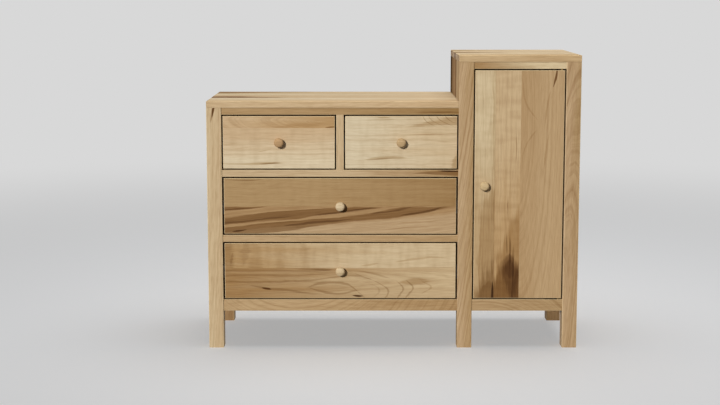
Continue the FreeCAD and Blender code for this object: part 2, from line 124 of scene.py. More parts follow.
def board_colour(
    tree, point, tones, fade, heart, way="across", lean=0, stretch=7, ring=9 * mm, lines=0.3, grain=0.25,
    curl=0, streaks=(), arches=(),
):
    """The colour of one sawn board: its tone changes along the fade, the year rings are cut into long ovals
    round the heart, and curl ripples across them. Streaks run along the board and arches across it, each
    through stations that say how far along, how far up and how wide, in millimetres."""
    turn, length_axis, breadth_axis = ways[way]
    turn = (turn[0], turn[1] + math.radians(lean), turn[2])
    along = add_node(
        tree, "Mapping", {"Vector": point, "Location": heart, "Rotation": turn}, vector_type="TEXTURE"
    ).outputs[0]

    # Broad streaks of lighter and darker wood, 24 mm wide, and thin ones of 6 mm, twenty times as long
    drawn = add_node(tree, "VectorMath", {0: along, 1: (1 / 20, 1, 1)}, operation="MULTIPLY").outputs[0]
    broad = add_node(tree, "TexNoise", {"Vector": drawn, "Scale": 1 / (24 * mm), "Detail": 2.0}).outputs[0]
    thin = add_node(
        tree, "TexNoise", {"Vector": drawn, "Scale": 1 / (6 * mm), "Detail": 3.0, "Roughness": 0.6}
    ).outputs[0]
    start, end = fade
    run = [b - a for a, b in zip(start, end)]
    squared = sum(r * r for r in run)
    run = [r / squared for r in run]
    offset = sum(a * r for a, r in zip(start, run))
    place = add_node(tree, "VectorMath", {0: point, 1: run}, operation="DOT_PRODUCT").outputs["Value"]
    sway = 1.2
    swayed = add_node(tree, "Math", {0: broad, 1: sway, 2: place}, operation="MULTIPLY_ADD").outputs[0]
    fade_from = offset + sway / 2
    share = add_node(
        tree, "MapRange", {"Value": swayed, "From Min": fade_from, "From Max": fade_from + 1}
    ).outputs[0]
    colour = add_node(
        tree, "Mix", {0: share, first: linear(tones[0]), second: linear(tones[1])}, data_type="RGBA"
    ).outputs[mixed]

    # Year rings, uneven from year to year, with thin dark late wood; the thin streaks; and the curl, soft
    # ripples about 26 mm apart
    oval = add_node(tree, "VectorMath", {0: along, 1: (1 / stretch, 1, 1)}, operation="MULTIPLY").outputs[0]
    radius = add_node(tree, "VectorMath", {0: oval}, operation="LENGTH").outputs["Value"]
    years = add_node(tree, "Math", {0: radius, 1: 1 / ring, 2: broad}, operation="MULTIPLY_ADD").outputs[0]
    growth = add_node(
        tree, "TexNoise", {"W": years, "Scale": 1.0, "Detail": 4.0, "Roughness": 0.7}, noise_dimensions="1D"
    ).outputs[0]
    ripple_size = (26 * mm, 90 * mm, 90 * mm)
    ripples = add_node(tree, "VectorMath", {0: along, 1: ripple_size}, operation="DIVIDE").outputs[0]
    ripple = add_node(tree, "TexNoise", {"Vector": ripples, "Scale": 1.0, "Detail": 1.0}).outputs[0]
    late_from, late_full = 0.42, 0.72
    for pattern, depth in ((growth, lines), (thin, grain), (ripple, curl)):
        span = {"Value": pattern, "From Min": late_from, "From Max": late_full, "To Max": depth}
        late = add_node(tree, "MapRange", span).outputs[0]
        colour = add_node(
            tree, "Mix", {0: late, first: colour, second: linear(late_wood)}, data_type="RGBA",
            blend_type="MULTIPLY",
        ).outputs[mixed]

    # Streaks, stains and knots follow their stations, with an edge that frays along the grain
    sides = add_node(tree, "SeparateXYZ", {0: point}).outputs
    length, breadth = sides[length_axis], sides[breadth_axis]
    for (forward, sideways), marks in (((length, breadth), streaks), ((breadth, length), arches)):
        for tone, strength, soft, stations in marks:
            course = add_node(tree, "FloatCurve", {"Value": forward})
            reach = add_node(tree, "FloatCurve", {"Value": forward})
            middles = [s[1] for s in stations]
            halves = [s[2] / 2 for s in stations]
            for node, heights in ((course, middles), (reach, halves)):
                node.mapping.use_clip = False
                curve = node.mapping.curves[0]
                corners = [(s[0] * mm, height * mm) for s, height in zip(stations, heights)]
                curve.points[0].location = corners[0]
                curve.points[1].location = corners[-1]
                for corner in corners[1:-1]:
                    curve.points.new(*corner)
                node.mapping.update()
            middle = course.outputs[0]
            off = add_node(tree, "Math", {0: sideways, 1: middle}, operation="SUBTRACT").outputs[0]
            away = add_node(tree, "Math", {0: off}, operation="ABSOLUTE").outputs[0]
            inside = add_node(tree, "Math", {0: reach.outputs[0], 1: away}, operation="SUBTRACT").outputs[0]
            frayed = add_node(
                tree, "Math", {0: thin, 1: 2 * soft * mm, 2: inside}, operation="MULTIPLY_ADD"
            ).outputs[0]
            edge = {"From Min": 1.5 * soft * mm, "From Max": 2.4 * soft * mm, "To Max": strength}
            dark = add_node(
                tree, "MapRange", {"Value": frayed, **edge}, interpolation_type="SMOOTHSTEP"
            ).outputs[0]
            colour = add_node(
                tree, "Mix", {0: dark, first: colour, second: linear(tone)}, data_type="RGBA",
                blend_type="MULTIPLY",
            ).outputs[mixed]
    return colour


def finished_wood(
    name, boards, seams=(), seam_axis="Z", shine=(0.6, 0.8), gleam=0.1, edge_highlight=0.5, flecks=0.32, painted_gap_shade=0.0,
    ends=0.0, long_edges=0.0,
):
    """Planed wood: close and smooth, its pores hardly show, with a faint broad sheen and sanded corners,
    which are drawn paler as a painted highlight. Boards glued edge to edge meet at the seams, each with its
    own figure. End grain takes up more oil than the face and turns browner, the long edges can be made
    darker, and the sides that face into the gaps between fronts are darkened as painted shade."""
    material = bpy.data.materials.new(name)
    material.use_nodes = True
    tree = material.node_tree
    tree.nodes.clear()
    texture = add_node(tree, "TexCoord", {}).outputs
    place = texture["Object"]

    # The grain wanders by some millimetres over a hand's length
    hand, reach = 150 * mm, 12 * mm
    wander = add_node(tree, "TexNoise", {"Vector": place, "Scale": 1 / hand, "Detail": 3.0}).outputs["Color"]
    centred = add_node(tree, "VectorMath", {0: wander, 1: (0.5, 0.5, 0.5)}, operation="SUBTRACT").outputs[0]
    point = add_node(
        tree, "VectorMath", {0: centred, 1: (reach, reach, reach), 2: place}, operation="MULTIPLY_ADD"
    ).outputs[0]
    colour = board_colour(tree, point, **boards[0])
    split = add_node(tree, "SeparateXYZ", {0: place}).outputs[seam_axis]
    for seam, board in zip(seams, boards[1:]):
        past = add_node(tree, "Math", {0: split, 1: seam * mm}, operation="GREATER_THAN").outputs[0]
        next_colour = board_colour(tree, point, **board)
        colour = add_node(
            tree, "Mix", {0: past, first: colour, second: next_colour}, data_type="RGBA"
        ).outputs[mixed]

    # Fibres and flecks, drawn about 3 mm wide so that they show at this size
    turn = ways[boards[0].get("way", "across")][0]
    turn = (turn[0], turn[1] + math.radians(boards[0].get("lean", 0)), turn[2])
    fibre_size = (40 * mm, 3 * mm, 3 * mm)
    fibre_space = add_node(
        tree, "Mapping", {"Vector": point, "Rotation": turn, "Scale": fibre_size}, vector_type="TEXTURE"
    ).outputs[0]
    fibre = add_node(tree, "TexNoise", {"Vector": fibre_space, "Scale": 1.0, "Detail": 3.0}).outputs[0]
    fleck = add_node(
        tree, "MapRange", {"Value": fibre, "From Min": 0.46, "From Max": 0.7, "To Max": flecks}
    ).outputs[0]
    colour = add_node(
        tree, "Mix", {0: fleck, first: colour, second: linear(late_wood)}, data_type="RGBA",
        blend_type="MULTIPLY",
    ).outputs[mixed]

    # End grain is browner, long edges are darker, and the sides of a front in the gaps get painted shade.
    # Each kind has its depth of brown, the axis that tells it from the others, and the part of the normal
    # along that axis at which the brown starts and at which it is full
    slope = add_node(tree, "VectorMath", {0: texture["Normal"]}, operation="ABSOLUTE").outputs[0]
    darker_faces = ((painted_gap_shade, "Y", 0.35, 0.1), (ends, "X", 0.65, 0.9), (long_edges, "Y", 0.65, 0.9))
    for depth, axis, none, full in darker_faces:
        if depth:
            facing = add_node(tree, "SeparateXYZ", {0: slope}).outputs[axis]
            darkening = add_node(
                tree, "MapRange", {"Value": facing, "From Min": none, "From Max": full, "To Max": depth}
            ).outputs[0]
            colour = add_node(
                tree, "Mix", {0: darkening, first: colour, second: linear(dark_stain_and_shade)}, data_type="RGBA",
                blend_type="MULTIPLY",
            ).outputs[mixed]

    # Corners are eased with fine paper and drawn paler as a painted highlight. The parts of the normal add
    # up to 1 on a flat face and to 1.4 on a corner
    sanded = "#E9D2A6"
    flat_sum, corner_sum = 1.05, 1.3
    ones = (1, 1, 1)
    turned = add_node(tree, "VectorMath", {0: slope, 1: ones}, operation="DOT_PRODUCT").outputs["Value"]
    highlight_share = add_node(
        tree, "MapRange", {"Value": turned, "From Min": flat_sum, "From Max": corner_sum, "To Max": edge_highlight}
    ).outputs[0]
    colour = add_node(
        tree, "Mix", {0: highlight_share, first: colour, second: linear(sanded)}, data_type="RGBA"
    ).outputs[mixed]

    # Raised fibres shade one another, so the oiled surface hardly shines at a low angle
    gloss = add_node(tree, "MapRange", {"Value": fibre, "To Min": shine[0], "To Max": shine[1]}).outputs[0]
    bump = add_node(tree, "Bump", {"Height": fibre, "Strength": 0.2, "Distance": 0.15 * mm}).outputs[0]
    surface = {
        "Base Color": colour,
        "Roughness": gloss,
        "IOR": 1.5,
        "Specular IOR Level": gleam,
        "Normal": bump,
    }
    shader = add_node(tree, "BsdfPrincipled", surface).outputs[0]
    add_node(tree, "OutputMaterial", {"Surface": shader})
    return material


def dress(material, *nodes):
    """Gives the material to all slots of some solids, whose shapes stay as they are."""
    for node in nodes:
        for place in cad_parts[node].material_slots:
            place.material = material


left_post = {
    "tones": ("#CFB893", "#C0A47D"),
    "fade": (on_front(-640, 0), on_front(-560, 0)),
    "heart": on_front(-660, 560),
    "way": "upright",
    "lean": 2,
    "stretch": 14,
    "lines": 0.35,
    "streaks": [
        (brown_stain, 0.7, 4, [(775, -628, 1), (800, -622, 14), (825, -616, 16), (845, -612, 8)]),
        (dark_stain_and_shade, 1.0, 2, [(796, -622, 1), (815, -617, 10), (838, -612, 11), (848, -610, 2)]),
    ],
}
middle_post = {
    "tones": ("#C3A783", "#AD8F65"),
    "fade": (on_front(215, 0), on_front(290, 0)),
    "heart": on_front(200, 1100),
    "way": "upright",
    "lean": 7,
    "stretch": 10,
    "ring": 7 * mm,
    "lines": 0.55,
}
right_post = {
    "tones": ("#BDA07C", "#A68960"),
    "fade": (on_front(580, 0), on_front(660, 0)),
    "heart": on_front(570, 60),
    "way": "upright",
    "lean": 5,
    "stretch": 10,
    "ring": 7 * mm,
    "lines": 0.55,
}
# The rear left post is toned darker as painted shade where the front lamp reaches it under the case, and the
# rear right post paler as painted light in the shadow of the case
rear_left_post = dict(right_post, tones=("#A3835C", "#94744D"), heart=on_front(-650, 300))
rear_right_post = dict(left_post, tones=("#C9A578", "#BD976A"), heart=on_front(600, 300), streaks=[])
posts = {
    "front_left_post": left_post,
    "front_right_post": right_post,
    "rear_left_post": rear_left_post,
    "rear_right_post": rear_right_post,
}
for post, figure in posts.items():
    dress(finished_wood("oiled_maple_" + post, [figure]), post)

# The middle post's side shows at so low an angle that a gleam would turn it grey
middle_wood = finished_wood("oiled_maple_front_middle_post", [middle_post], gleam=0.0, edge_highlight=0.1)
dress(middle_wood, "front_middle_post")

# Front rails and divider
# Maple rails with eased edges are tenoned between the posts, and a short upright parts the small drawers.
# Each was sawn from another board, so their tones differ.
rails = {
    "low_top_rail": {
        "tones": ("#B29369", "#987748"),
        "fade": (on_front(-300, 0), on_front(250, 0)),
        "heart": on_front(-250, 870),
        "stretch": 14,
        "lines": 0.35,
        "streaks": [(brown_stain, 0.6, 3, [(0, 821, 1), (130, 821, 9), (260, 822, 3)])],
    },
    "upper_drawer_rail": {
        "tones": ("#C8AF8A", "#A17E52"),
        "fade": (on_front(-120, 0), on_front(230, 0)),
        "heart": on_front(-350, 560),
        "stretch": 12,
        "streaks": [
            (brown_stain, 0.7, 4, [(40, 612, 1), (140, 613, 18), (240, 612, 22)]),
            (black_stain, 1.0, 2, [(140, 620, 1), (185, 620, 9), (240, 621, 6)]),
        ],
    },
    "lower_drawer_rail": {
        "tones": ("#BFA27B", "#B19269"),
        "fade": (on_front(-500, 0), on_front(200, 0)),
        "heart": on_front(-100, 470),
        "stretch": 14,
    },
    "low_bottom_rail": {
        "tones": ("#BDA078", "#AB8B61"),
        "fade": (on_front(-300, 0), on_front(220, 0)),
        "heart": on_front(-330, 270),
        "stretch": 1.6,
        "ring": 10 * mm,
        "lines": 0.42,
    },
    "tower_top_rail": {
        "tones": ("#A58358", "#D5C19B"),
        "fade": (on_front(290, 0), on_front(480, 0)),
        "heart": on_front(520, 940),
        "stretch": 8,
    },
    "tower_bottom_rail": {
        "tones": ("#B49770", "#AC8F67"),
        "fade": (on_front(280, 0), on_front(580, 0)),
        "heart": on_front(300, 90),
        "stretch": 2.4,
        "ring": 10 * mm,
        "lines": 0.5,
    },
    "drawer_divider": {
        "tones": ("#CDB691", "#C3A780"),
        "fade": (on_front(-200, 0), on_front(-160, 0)),
        "heart": on_front(-230, 700),
        "way": "upright",
        "stretch": 14,
    },
}
for rail, figure in rails.items():
    dress(finished_wood("oiled_maple_" + rail, [figure]), rail)

# Sides and partition
# Frames of maple rails hold upright panels, glued up from four boards, in grooves, set back from the posts.
# Above the low top a board fills the recess of the partition, level with the posts, as the tower's side:
# pale in front and darker towards the rear, where the rear stile is dark with a black streak along its
# left edge above the low top.
side_rail = {
    "tones": ("#BFA37C", "#AC8F67"),
    "fade": ((0, -200 * mm, 0), (0, 250 * mm, 0)),
    "heart": (0, 100 * mm, 500 * mm),
    "way": "inward",
    "stretch": 12,
}
heart_rail = dict(side_rail, tones=("#B6996E", "#997A51"))
dark_rear_stile = dict(
    middle_post,
    tones=("#8B734F", "#766040"),
    streaks=[(black_stain, 0.95, 1, [(0, 224, 1), (835, 224, 1), (855, 224, 7), (1020, 224, 7)])],
)
side_board = {
    "tones": ("#C7AF8B", "#B1936B"),
    "fade": ((0, -200 * mm, 300 * mm), (0, 250 * mm, 500 * mm)),
    "heart": (0, -120 * mm, 500 * mm),
    "way": "upright",
    "stretch": 10,
    "lines": 0.45,
}
side_boards = [
    side_board,
    dict(side_board, tones=("#BB9D75", "#AC8E67"), heart=(0, -40 * mm, 300 * mm)),
    dict(side_board, tones=("#CFB996", "#BB9F79"), heart=(0, 30 * mm, 700 * mm)),
    dict(side_board, tones=("#C0A47D", "#AB8D67"), heart=(0, 170 * mm, 200 * mm)),
]
side_seams = (-88, 11, 105)
dress(finished_wood("oiled_maple_side_rails", [side_rail]), "left_side_rails", "right_side_rails")
dress(finished_wood("oiled_maple_partition_rails", [heart_rail]), "partition_rails")
dress(finished_wood("oiled_maple_rear_stile", [dark_rear_stile], gleam=0.0, edge_highlight=0.0), "rear_middle_stile")
dress(
    finished_wood("oiled_maple_side_panels", side_boards, side_seams, "Y"),
    "left_side_panel", "right_side_panel",
)
partition_boards = [
    dict(side_boards[0], tones=("#C9B18E", "#C2AA87")),
    dict(side_boards[1], tones=("#886D50", "#886D50")),
    dict(side_boards[2], tones=("#A88A69", "#A68867")),
    dict(side_boards[3], tones=("#94795A", "#8C7254")),
]
partition_seams = (-67, -12, 105)
dress(
    finished_wood("oiled_maple_partition", partition_boards, partition_seams, "Y", gleam=0.0),
    "partition_panel",
)

# Backs
# Maple rails hold thin birch plywood panels in grooves. The rotary-cut face veneer shows a broad,
# wandering figure under a clear lacquer.
rear_rail = dict(
    side_rail, way="across", heart=(0, 250 * mm, 480 * mm), fade=(on_front(-500, 0), on_front(500, 0))
)
back_veneer = {
    "tones": ("#D1BC98", "#BFA47C"),
    "fade": (on_front(-400, 0), on_front(500, 200)),
    "heart": (-100 * mm, 200 * mm, 420 * mm),
    "way": "upright",
    "stretch": 4,
    "ring": 34 * mm,
    "lines": 0.35,
}
dress(finished_wood("oiled_maple_rear_rails", [rear_rail]), "rear_rails")
dress(finished_wood("lacquered_birch_plywood_backs", [back_veneer]), "back_panels")

# Tops
# Each top is glued up from five maple boards, front to back, with eased edges, and lies on the case flush
# with the posts. Brown streaks run in from the left ends.
top_board = {
    "tones": ("#DDC39B", "#D4B68C"),
    "fade": ((-300 * mm, -400 * mm, 0), (200 * mm, 400 * mm, 0)),
    "heart": (-200 * mm, -200 * mm, 820 * mm),
    "way": "flat",
    "stretch": 14,
}
top_boards = [
    top_board,
    dict(top_board, tones=("#E3D1B1", "#DBC6A3"), heart=(300 * mm, -90 * mm, 800 * mm)),
    dict(top_board, tones=("#CDB18B", "#DBC6A3"), heart=(-100 * mm, 40 * mm, 820 * mm)),
    dict(top_board, tones=("#DDCBA9", "#D5BE9B"), heart=(100 * mm, 100 * mm, 830 * mm)),
    dict(top_board, tones=("#B69A70", "#E1CAA5"), heart=(-300 * mm, 230 * mm, 830 * mm)),
]
low_streak = (
    dark_stain_and_shade, 0.9, 9,
    [(-660, -35, 90), (-560, -35, 90), (-525, -37, 84), (-495, -38, 64), (-440, -46, 44), (-340, -52, 4)],
)
rear_streak = (
    brown_stain, 0.9, 10,
    [(-660, 203, 123), (-600, 205, 112), (-540, 214, 80), (-470, 220, 66), (-380, 232, 44), (-200, 250, 4)],
)
tower_streak = (dark_stain_and_shade, 0.85, 9, [(210, 4, 84), (280, 4, 80), (330, 2, 56), (390, 0, 30), (450, 0, 4)])
tower_rear_streak = (
    brown_stain, 0.9, 8,
    [(210, 190, 80), (260, 192, 74), (330, 196, 52), (420, 200, 38), (520, 204, 26), (570, 206, 8)],
)
low_boards = [
    *top_boards[:2],
    dict(top_boards[2], streaks=[low_streak]),
    top_boards[3],
    dict(top_boards[4], streaks=[rear_streak]),
]
tower_boards = [
    dict(top_board, tones=("#D8BE95", "#CDB085")),
    top_boards[1],
    dict(top_boards[2], streaks=[tower_streak]),
    top_boards[3],
    dict(top_boards[4], streaks=[tower_rear_streak]),
]
tops = {
    "low_top": (low_boards, (-150, -71, 60, 157)),
    "tower_top": (tower_boards, (-136, -38, 60, 157)),
}
for node, (boards, seams) in tops.items():
    wood = finished_wood(
        "oiled_maple_" + node, boards, seams, "Y", shine=(0.75, 0.9), edge_highlight=0.1, ends=0.6, long_edges=0.22
    )
    dress(wood, node)

# Inside
# The partition between the small drawers, the cleats, the floors and the shelves are plain maple, sawn,
# sanded and left without oil. The floors lie on cleats, the shelves on pins.
inner = dict(side_rail, tones=("#CFBA97", "#BFA47D"), way="across")
dress(
    finished_wood("sanded_maple_inside", [inner], shine=(0.7, 0.85)),
    "centre_partition", "support_cleats", "floors", "shelves", "slide_cleats",
)

# Drawer fronts
# Solid maple, glued up from one or two boards with the grain running across, planed to 20 mm, with the
# edges eased all round the face. The figure of each board is its own.
small_left_front = [
    {
        "tones": ("#DAC9A9", "#CCB18C"),
        "fade": (on_front(0, 655), on_front(0, 740)),
        "heart": on_front(-330, 560),
        "stretch": 16,
        "lines": 0.3,
        "grain": 0.15,
        "curl": 0.14,
        "streaks": [
            (light_stain, 0.8, 3, [(-600, 645, 8), (-526, 645, 9), (-440, 646, 13), (-354, 647, 1)]),
            (brown_stain, 0.9, 2, [(-470, 645, 1), (-423, 645, 8), (-375, 647, 1)]),
            (light_stain, 0.6, 2, [(-480, 683, 1), (-445, 688, 6), (-405, 696, 1)]),
            (light_stain, 0.6, 2, [(-570, 695, 1), (-519, 699, 6), (-470, 701, 1)]),
            (light_stain, 0.5, 2, [(-600, 712, 5), (-540, 713, 6), (-470, 711, 1)]),
        ],
    },
    {
        "tones": ("#CAAE88", "#B9976A"),
        "fade": (on_front(-560, 0), on_front(-230, 0)),
        "heart": on_front(-216, 790),
        "stretch": 6,
        "lines": 0.45,
        "grain": 0.15,
        "streaks": [
            (light_stain, 0.3, 8, [(-420, 768, 4), (-354, 776, 26), (-297, 777, 28), (-240, 773, 12)]),
            (brown_stain, 0.9, 2, [(-240, 770, 1), (-222, 770, 9), (-200, 771, 7)]),
        ],
    },
]
small_right_front = [
    {
        "tones": ("#D7C7A8", "#CDB692"),
        "fade": (on_front(-150, 690), on_front(190, 720)),
        "heart": on_front(-200, 860),
        "stretch": 14,
        "lines": 0.3,
        "grain": 0.15,
        "curl": 0.14,
        "streaks": [
            (
                light_stain, 0.7, 7,
                [(-125, 655, 3), (-57, 665, 22), (5, 667, 20), (63, 664, 12), (120, 665, 1)],
            ),
            (brown_stain, 0.6, 2, [(-105, 659, 1), (-57, 662, 8), (-12, 665, 6), (30, 665, 1)]),
            (
                light_stain, 0.8, 13,
                [(20, 768, 12), (91, 777, 34), (136, 784, 44), (176, 790, 44), (230, 796, 46)],
            ),
            (
                light_stain, 0.6, 4,
                [(0, 739, 1), (79, 745, 9), (142, 747, 10), (205, 751, 10), (230, 752, 8)],
            ),
            (light_stain, 0.5, 4, [(40, 723, 1), (102, 725, 8), (165, 724, 9), (230, 729, 9)]),
            (light_stain, 0.9, 2, [(-60, 803, 1), (-35, 803, 7), (0, 801, 1)]),
            (light_stain, 0.5, 2, [(-110, 800, 1), (-35, 797, 6), (30, 794, 1)]),
        ],
        "arches": [
            (brown_stain, 0.65, 1, [(770, 155, 2), (782, 128, 5), (795, 110, 5), (815, 100, 3)]),
            (brown_stain, 0.65, 1, [(770, 186, 2), (784, 151, 5), (796, 131, 5), (815, 119, 3)]),
            (brown_stain, 0.65, 1, [(772, 212, 2), (786, 179, 6), (796, 159, 6), (815, 146, 3)]),
            (brown_stain, 0.65, 1, [(785, 216, 4), (797, 190, 6), (815, 176, 3)]),
            (light_stain, 0.7, 9, [(605, 210, 44), (653, 214, 36), (690, 218, 4)]),
        ],
    },
]
middle_front = [
    {
        "tones": ("#AA8960", "#BB9F7A"),
        "fade": (on_front(-168, 450), on_front(-166.5, 432)),
        "heart": on_front(-300, 700),
        "lean": -5,
        "stretch": 20,
        "ring": 6 * mm,
        "lines": 0.4,
        "grain": 0.35,
        "streaks": [
            (brown_stain, 0.8, 2, [(-610, 489, 18), (-528, 491, 13), (-459, 494, 8), (-395, 498, 1)]),
            (brown_stain, 0.8, 2, [(-610, 485, 7), (-522, 490, 6), (-440, 495, 2)]),
            (
                brown_stain, 0.85, 5,
                [(-610, 445, 33), (-482, 456, 38), (-339, 468, 40),
                 (-229, 481, 31), (-91, 490, 18), (-15, 496, 4)],
            ),
            (
                brown_stain, 0.85, 5,
                [(-610, 411, 34), (-425, 421, 45), (-275, 439, 34),
                 (-91, 460, 31), (0, 474, 41), (92, 484, 33),
                 (138, 489, 23), (185, 494, 14), (222, 496, 8)],
            ),
            (dark_stain_and_shade, 0.5, 2, [(-610, 440, 8), (-480, 449, 9), (-380, 458, 7), (-320, 464, 1)]),
            (
                dark_stain_and_shade, 0.6, 2,
                [(-320, 463, 1), (-229, 472, 9), (-143, 482, 10), (-86, 490, 7), (-40, 496, 1)],
            ),
            (
                dark_stain_and_shade, 0.6, 2,
                [(-390, 426, 1), (-350, 432, 9), (-218, 446, 10), (-169, 449, 8), (-125, 454, 1)],
            ),
            (
                dark_stain_and_shade, 0.5, 2,
                [(-85, 468, 1), (-63, 473, 8), (-17, 479, 9), (29, 487, 10), (80, 496, 1)],
            ),
            (
                dark_stain_and_shade, 0.6, 2,
                [(15, 464, 1), (46, 468, 8), (92, 475, 10), (144, 487, 11), (172, 496, 1)],
            ),
            (dark_stain_and_shade, 0.9, 2, [(-563, 408, 1), (-546, 411, 9), (-529, 413, 10), (-500, 419, 1)]),
            (light_stain, 0.5, 2, [(-253, 416, 1), (-80, 430, 6), (92, 443, 6), (225, 450, 3)]),
            (light_stain, 0.5, 2, [(-103, 410, 1), (35, 422, 6), (225, 434, 3)]),
        ],
    },
    {
        "tones": ("#AD8F65", "#97764B"),
        "fade": (on_front(-250, 0), on_front(260, 0)),
        "heart": on_front(-100, 800),
        "stretch": 12,
        "lines": 0.18,
        "grain": 0.15,
        "curl": 0.1,
        "streaks": [(brown_stain, 0.6, 2, [(-590, 589, 2), (-504, 588, 8), (-420, 591, 1)])],
    },
]
lower_front = [
    {
        "tones": ("#A17E52", "#C8B08A"),
        "fade": (on_front(-560, 0), on_front(200, 0)),
        "heart": on_front(-900, 236),
        "stretch": 20,
        "ring": 7 * mm,
        "lines": 0.35,
        "grain": 0.25,
        "streaks": [
            (
                brown_stain, 0.54, 3,
                [(-410, 282, 1), (-322, 283, 13), (-276, 279, 13), (-230, 276, 13), (-195, 275, 1)],
            ),
            (
                brown_stain, 0.34, 3,
                [(-610, 269, 12), (-467, 272, 13), (-357, 270, 12), (-253, 274, 12), (-190, 273, 1)],
            ),
            (
                brown_stain, 0.34, 3,
                [(-610, 252, 12), (-467, 258, 13), (-351, 253, 12), (-276, 258, 12), (-190, 264, 1)],
            ),
            (
                brown_stain, 0.45, 3,
                [(-610, 234, 12), (-456, 232, 12), (-299, 237, 12),
                 (-195, 250, 11), (-138, 253, 11), (-91, 245, 11),
                 (-60, 235, 2)],
            ),
            (
                brown_stain, 0.48, 3,
                [(-520, 225, 1), (-441, 210, 13), (-352, 200, 12), (-288, 192, 11), (-210, 186, 1)],
            ),
            (dark_stain_and_shade, 1.0, 2, [(-460, 213, 1), (-441, 209, 12), (-420, 206, 1)]),
            (
                brown_stain, 0.55, 4,
                [(-296, 212, 4), (-276, 221, 14), (-212, 230, 14), (-161, 224, 15), (-138, 210, 13)],
            ),
            (
                brown_stain, 0.55, 4,
                [(-296, 214, 4), (-265, 204, 14), (-172, 189, 14), (-143, 197, 15), (-95, 200, 3)],
            ),
            (brown_stain, 0.41, 3, [(-145, 271, 1), (-80, 264, 12), (-34, 253, 12), (2, 242, 2)]),
            (black_stain, 1.0, 2, [(-145, 182, 1), (-123, 182, 10), (-98, 182, 1)]),
            (light_stain, 0.6, 9, [(10, 232, 4), (53, 232, 36), (94, 232, 34), (150, 234, 4)]),
        ],
        "arches": [
            (
                brown_stain, 0.55, 4,
                [(165, -44, 13), (195, -16, 14), (206, -17, 14), (218, -30, 14), (240, -76, 12)],
            ),
            (
                brown_stain, 0.55, 4,
                [(165, 5, 13), (195, 31, 14), (206, 38, 14), (218, 33, 14), (246, -6, 4)],
            ),
            (
                brown_stain, 0.55, 4,
                [(165, 35, 13), (198, 63, 14), (209, 71, 14), (230, 56, 14), (246, 35, 3)],
            ),
            (
                light_stain, 0.48, 3,
                [(186, 90, 1), (198, 111, 12), (212, 131, 13), (227, 111, 12), (245, 78, 1)],
            ),
            (brown_stain, 0.27, 3, [(186, -60, 10), (205, -48, 12), (222, -70, 10)]),
        ],
    },
    {
        "tones": ("#B08E60", "#CDB793"),
        "fade": (on_front(-620, 0), on_front(-20, 0)),
        "heart": on_front(150, 330),
        "stretch": 14,
        "lines": 0.25,
        "grain": 0.2,
        "curl": 0.22,
        "streaks": [
            (light_stain, 0.54, 3, [(-126, 288, 1), (-80, 293, 12), (-42, 302, 1)]),
            (
                light_stain, 0.55, 4,
                [(-60, 271, 3), (36, 274, 14), (93, 279, 15), (163, 279, 14), (225, 285, 12)],
            ),
            (
                light_stain, 0.54, 3,
                [(-11, 301, 1), (36, 307, 12), (93, 315, 12), (151, 318, 12), (225, 306, 2)],
            ),
        ],
        "arches": [
            (brown_stain, 0.4, 5, [(280, -566, 4), (315, -559, 18), (345, -553, 4)]),
            (brown_stain, 0.35, 16, [(285, -520, 20), (318, -514, 52), (350, -511, 56), (385, -509, 40)]),
            (brown_stain, 0.4, 22, [(260, -600, 140), (380, -600, 120)]),
            (light_stain, 0.35, 18, [(260, -470, 76), (380, -478, 60)]),
            (light_stain, 0.25, 16, [(260, -392, 56), (380, -402, 62)]),
            (light_stain, 0.25, 16, [(260, -296, 66), (380, -314, 52)]),
        ],
    },
]
front_boards = {
    "upper_left_drawer": (small_left_front, (767.7,)),
    "upper_right_drawer": (small_right_front, ()),
    "middle_drawer": (middle_front, (497,)),
    "lower_drawer": (lower_front, (281,)),
}
# Each front gets a painted highlight on its corners and painted shade on its sides in the gaps
for drawer, (boards, seams) in front_boards.items():
    front_wood = finished_wood("oiled_maple_" + drawer, boards, seams, edge_highlight=0.75, flecks=0.2, painted_gap_shade=0.65)
    dress(front_wood, drawer + "_front")

# Drawer boxes
# Dovetailed boxes of pale maple are fixed behind the fronts, with birch plywood bottoms in grooves. Both
# are sanded and left without oil.
box_board = dict(inner, tones=("#D6C4A0", "#C9B08A"), lines=0.2)
box_wood = finished_wood("sanded_maple_boxes", [box_board], shine=(0.7, 0.85))
bottom_veneer = dict(back_veneer, way="flat", heart=(-150 * mm, 20 * mm, 300 * mm), ring=26 * mm)
bottom_ply = finished_wood("sanded_birch_plywood_bottoms", [bottom_veneer], shine=(0.7, 0.85))
for drawer in front_boards:
    dress(box_wood, drawer + "_box")
    dress(bottom_ply, drawer + "_bottom")


